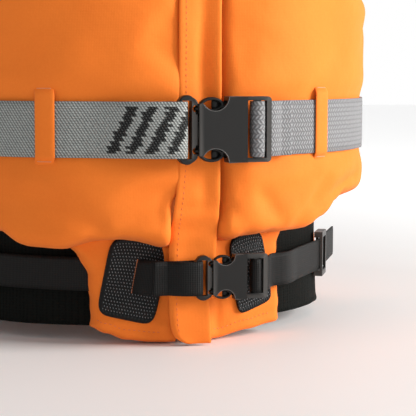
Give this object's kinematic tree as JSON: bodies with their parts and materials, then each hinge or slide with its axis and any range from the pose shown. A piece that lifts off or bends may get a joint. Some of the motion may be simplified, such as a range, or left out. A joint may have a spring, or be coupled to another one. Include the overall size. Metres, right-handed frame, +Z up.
{
  "type": "life jacket",
  "caption": "Padded buoyancy vest with foam front and back panels, a zip under a flap, a folding collar and belts closed by side-release buckles.",
  "frame": {"origin": "middle of the jacket's plan at the level of its hem", "axes": "+Z up, the chest faces -Y, +X is the wearer's left"},
  "size_m": [0.3694, 0.331, 0.6],
  "materials": {
    "orange_fabric": "plain-woven nylon, slightly sheeny",
    "black_lining": "matte knitted mesh",
    "black_mesh": "matte stretch mesh",
    "patch_mesh": "coated mesh",
    "closed_cell_foam": "closed-cell foam",
    "grey_webbing": "ribbed polyester webbing",
    "black_webbing": "ribbed polyester webbing",
    "black_acetal": "satin moulded acetal",
    "zip_tape": "woven tape",
    "zip_teeth": "moulded acetal",
    "slider_metal": "black lacquer"
  },
  "bodies": {
    "jacket": {"back_belt_loop_left": "orange_fabric", "back_belt_loop_right": "orange_fabric", "back_cover": "orange_fabric", "back_foam_inner": "closed_cell_foam", "back_foam_outer": "closed_cell_foam", "back_lining": "black_lining", "back_skirt": "orange_fabric", "back_yoke": "orange_fabric", "belt_loop_left": "orange_fabric", "belt_loop_right": "orange_fabric", "belt_patch_left": "patch_mesh", "belt_patch_right": "patch_mesh", "front_left_cover": "orange_fabric", "front_left_foam_inner": "closed_cell_foam", "front_left_foam_outer": "closed_cell_foam", "front_left_lining": "black_lining", "front_right_cover": "orange_fabric", "front_right_foam_inner": "closed_cell_foam", "front_right_foam_outer": "closed_cell_foam", "front_right_lining": "black_lining", "front_skirt_left": "orange_fabric", "front_skirt_right": "orange_fabric", "lower_belt_left": "black_webbing", "lower_belt_right": "black_webbing", "lower_buckle_female": "black_acetal", "shoulder_left": "orange_fabric", "shoulder_right": "orange_fabric", "side_panel_left": "black_mesh", "side_panel_right": "black_mesh", "waist_belt_left": "grey_webbing", "waist_belt_right": "grey_webbing", "waist_buckle_female": "black_acetal", "zip_box": "zip_teeth", "zip_flap": "orange_fabric", "zip_tape_left": "zip_tape", "zip_tape_right": "zip_tape", "zip_teeth_left": "zip_teeth", "zip_teeth_right": "zip_teeth"},
    "waist_plug": {"waist_buckle_male": "black_acetal"},
    "waist_prong_upper": {"waist_buckle_prong_upper": "black_acetal"},
    "waist_prong_under": {"waist_buckle_prong_under": "black_acetal"},
    "lower_plug": {"lower_buckle_male": "black_acetal"},
    "lower_prong_upper": {"lower_buckle_prong_upper": "black_acetal"},
    "lower_prong_under": {"lower_buckle_prong_under": "black_acetal"},
    "zip_runner": {"zip_slider": "slider_metal"},
    "zip_tab": {"zip_pull": "slider_metal"},
    "adjuster_left": {"lower_belt_adjuster_left": "black_acetal"},
    "adjuster_right": {"lower_belt_adjuster_right": "black_acetal"},
    "collar": {"collar_cover": "orange_fabric", "collar_foam": "closed_cell_foam"}
  },
  "joints": [
    {"name": "waist_buckle_pull", "type": "slide", "parent": "jacket", "child": "waist_plug", "axis": [-1, 0, 0], "range_m": [0, 0.03], "deforming": ["waist_belt_right", "waist_buckle_prong_upper", "waist_buckle_prong_under"]},
    {"name": "waist_prong_upper_squeeze", "type": "hinge", "parent": "waist_plug", "child": "waist_prong_upper", "pos_m": [-0.0052, -0.1595, 0.175], "axis": [0, 1, 0], "range_deg": [0, 18], "stiffness_Nm_per_rad": 0.1},
    {"name": "waist_prong_under_squeeze", "type": "hinge", "parent": "waist_plug", "child": "waist_prong_under", "pos_m": [-0.0052, -0.1595, 0.145], "axis": [0, -1, 0], "range_deg": [0, 18], "stiffness_Nm_per_rad": 0.1},
    {"name": "lower_buckle_pull", "type": "slide", "parent": "jacket", "child": "lower_plug", "axis": [-1, 0, 0], "range_m": [0, 0.022], "deforming": ["lower_belt_right", "lower_buckle_prong_upper", "lower_buckle_prong_under"]},
    {"name": "lower_prong_upper_squeeze", "type": "hinge", "parent": "lower_plug", "child": "lower_prong_upper", "pos_m": [0.0113, -0.1443, 0.0619], "axis": [0, 1, 0], "range_deg": [0, 18], "stiffness_Nm_per_rad": 0.05},
    {"name": "lower_prong_under_squeeze", "type": "hinge", "parent": "lower_plug", "child": "lower_prong_under", "pos_m": [0.0113, -0.1443, 0.0411], "axis": [0, -1, 0], "range_deg": [0, 18], "stiffness_Nm_per_rad": 0.05},
    {"name": "zip_slide", "type": "slide", "parent": "jacket", "child": "zip_runner", "axis": [0, 0, 1], "range_m": [-0.342, 0], "deforming": ["zip_teeth_left", "zip_teeth_right"]},
    {"name": "zip_pull_swing", "type": "hinge", "parent": "zip_runner", "child": "zip_tab", "pos_m": [0, -0.131, 0.3645], "axis": [-1, 0, 0], "range_deg": [0, 150]},
    {"name": "adjuster_left_slide", "type": "slide", "parent": "jacket", "child": "adjuster_left", "axis": [0.4962, 0.8682, 0], "range_m": [0, 0.03]},
    {"name": "adjuster_right_slide", "type": "slide", "parent": "jacket", "child": "adjuster_right", "axis": [-0.4962, 0.8682, 0], "range_m": [0, 0.03]},
    {"name": "collar_fold", "type": "hinge", "parent": "jacket", "child": "collar", "pos_m": [0, 0.1165, 0.521], "axis": [-1, 0, 0], "range_deg": [0, 50]}
  ]
}
